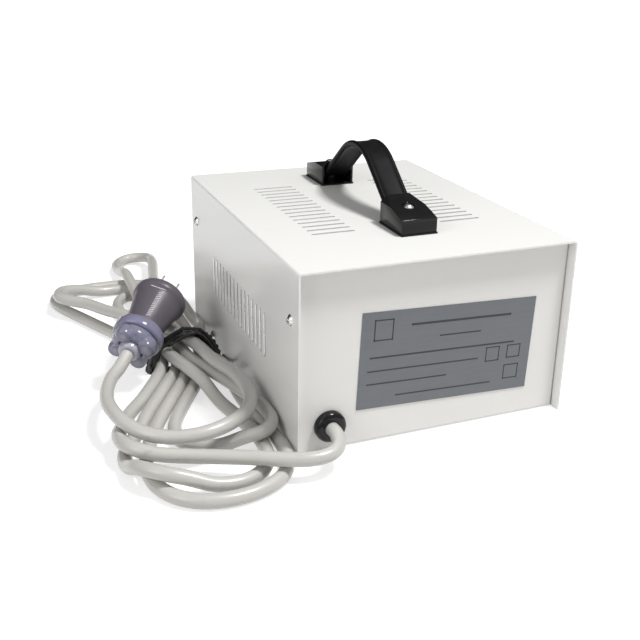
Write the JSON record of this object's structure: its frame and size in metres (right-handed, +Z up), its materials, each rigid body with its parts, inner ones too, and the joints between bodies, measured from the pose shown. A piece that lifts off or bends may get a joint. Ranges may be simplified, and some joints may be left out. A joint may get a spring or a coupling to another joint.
{
  "type": "isolation transformer",
  "caption": "Isolation transformer in a vented white sheet-metal case with a black strap handle, outlets and switch at the far end, and a tied hank of mains cord with a clear plug.",
  "frame": {"origin": "on the surface it stands on, under the middle of the case", "axes": "+X across the case, +Y from the cord end to the outlet end, +Z up"},
  "size_m": [0.3205, 0.4614, 0.1765],
  "materials": {
    "powder_coat": "off-white semi-gloss powder coat",
    "bright_screw": "bright zinc plate",
    "label": "satin silver-grey plate",
    "black_rubber": "black moulded",
    "black_plastic": "black moulded plastic",
    "spring_steel": "spring steel strip",
    "cord_jacket": "light warm grey jacket",
    "lamination": "varnished silicon steel laminations",
    "bobbin_nylon": "nylon bobbin",
    "enamel_copper": "enamelled copper winding",
    "insulation": "insulation film",
    "foil": "copper foil",
    "dark_steel": "dark painted steel",
    "tinned_brass": "brass",
    "rocker_red": "dark red rocker",
    "button_white": "white button",
    "outlet_ivory": "ivory outlet face",
    "zinc_sheet": "zinc plated strap",
    "wire_black": "black insulation",
    "wire_white": "white insulation",
    "wire_green": "green insulation",
    "wire_brown": "brown insulation",
    "plug_clear": "clear violet-grey moulding",
    "plug_blue": "clear blue collar"
  },
  "bodies": {
    "enclosure": {"cover": "powder_coat", "chassis": "powder_coat", "cover_screws": "bright_screw", "rating_plate": "label", "strain_relief": "black_plastic", "input_cable": "cord_jacket", "handle_strap": "black_rubber", "handle_spring_strip": "spring_steel", "handle_cap_near": "black_plastic", "handle_cap_far": "black_plastic", "handle_base_plates": "black_plastic", "handle_screws": "bright_screw", "handle_nuts": "bright_screw", "core_e_stack": "lamination", "core_i_stack": "lamination", "bobbin": "bobbin_nylon", "primary_winding": "enamel_copper", "layer_insulation": "insulation", "shield_foil": "foil", "secondary_winding": "enamel_copper", "coil_wrap": "insulation", "thermal_cutout": "black_plastic", "core_foot_near": "dark_steel", "core_foot_far": "dark_steel", "core_top_bars": "dark_steel", "core_bolts": "bright_screw", "core_nuts": "bright_screw", "weld_studs": "bright_screw", "foot_nuts": "bright_screw", "ground_lugs": "tinned_brass", "terminal_block": "black_plastic", "terminal_screws": "tinned_brass", "switch_housing": "black_plastic", "switch_terminals": "tinned_brass", "breaker_body": "black_plastic", "breaker_ring_nut": "bright_screw", "breaker_terminals": "tinned_brass", "outlet_bodies": "outlet_ivory", "outlet_yokes": "zinc_sheet", "outlet_screws": "bright_screw", "line_wires": "wire_black", "neutral_wires": "wire_white", "ground_wires": "wire_green", "outlet_wires": "wire_brown", "primary_leads": "wire_white", "secondary_leads": "wire_brown", "cord_lead": "cord_jacket", "cord_hank": "cord_jacket", "cord_tail": "cord_jacket", "cord_tie": "black_plastic", "plug_cap": "plug_clear", "plug_collar": "plug_blue", "plug_body": "plug_clear", "plug_screws": "bright_screw", "plug_blades": "tinned_brass", "plug_ground_pin": "tinned_brass"},
    "rocker": {"switch_rocker": "rocker_red"},
    "button": {"breaker_button": "button_white"}
  },
  "joints": [
    {"name": "switch_tilt", "type": "hinge", "parent": "enclosure", "child": "rocker", "pos_m": [0.052, 0.121, 0.088], "axis": [1, 0, 0], "range_deg": [0, 16]},
    {"name": "breaker_pop", "type": "slide", "parent": "enclosure", "child": "button", "axis": [0, 1, 0], "range_m": [0, 0.004]}
  ]
}
